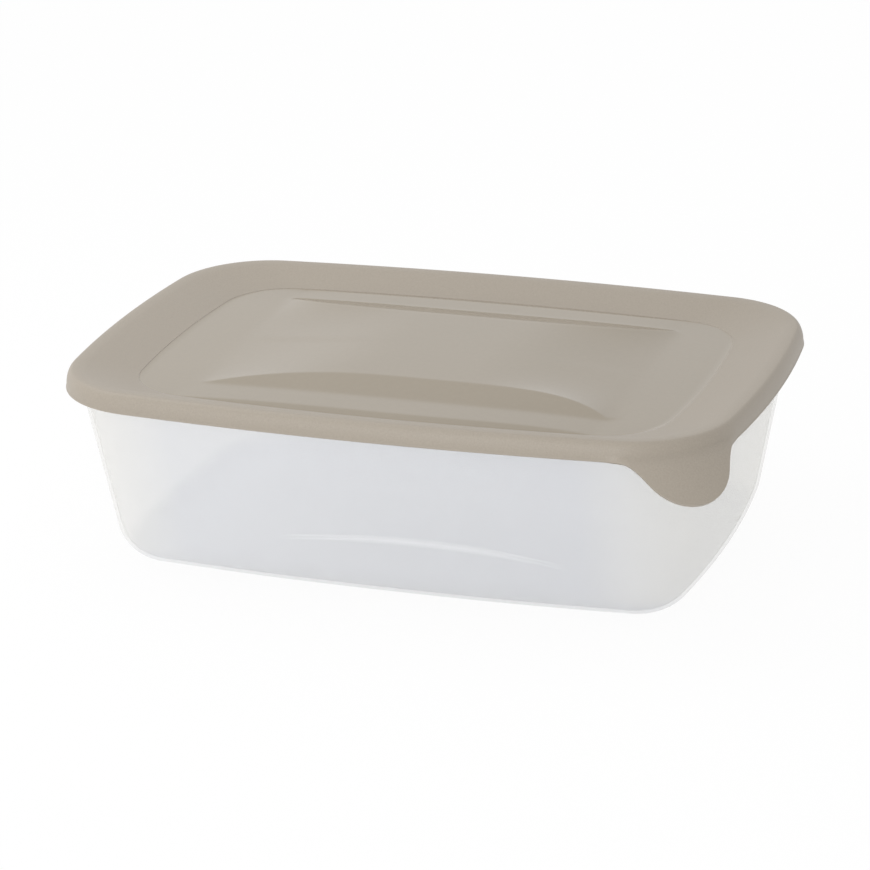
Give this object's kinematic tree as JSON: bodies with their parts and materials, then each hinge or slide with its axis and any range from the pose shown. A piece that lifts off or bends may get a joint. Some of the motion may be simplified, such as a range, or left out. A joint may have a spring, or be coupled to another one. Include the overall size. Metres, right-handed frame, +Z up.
{
  "type": "lidded food storage box",
  "caption": "Long rectangular food storage box: clear frosted tub with drafted walls and a rolled rim, closed by a press-on lid with a sunken arched panel and a corner pull tab.",
  "frame": {"origin": "middle of the footprint, on the plane the box stands on", "axes": "+Z up, X along the long sides, pull tab on the corner between +X and -Y"},
  "size_m": [0.29, 0.1981, 0.0848],
  "materials": {
    "tub_plastic": "frosted, see-through",
    "lid_plastic": "taupe, satin rim and glossy sunken panel"
  },
  "bodies": {
    "root": {"tub": "tub_plastic", "lid": "lid_plastic"}
  },
  "joints": []
}
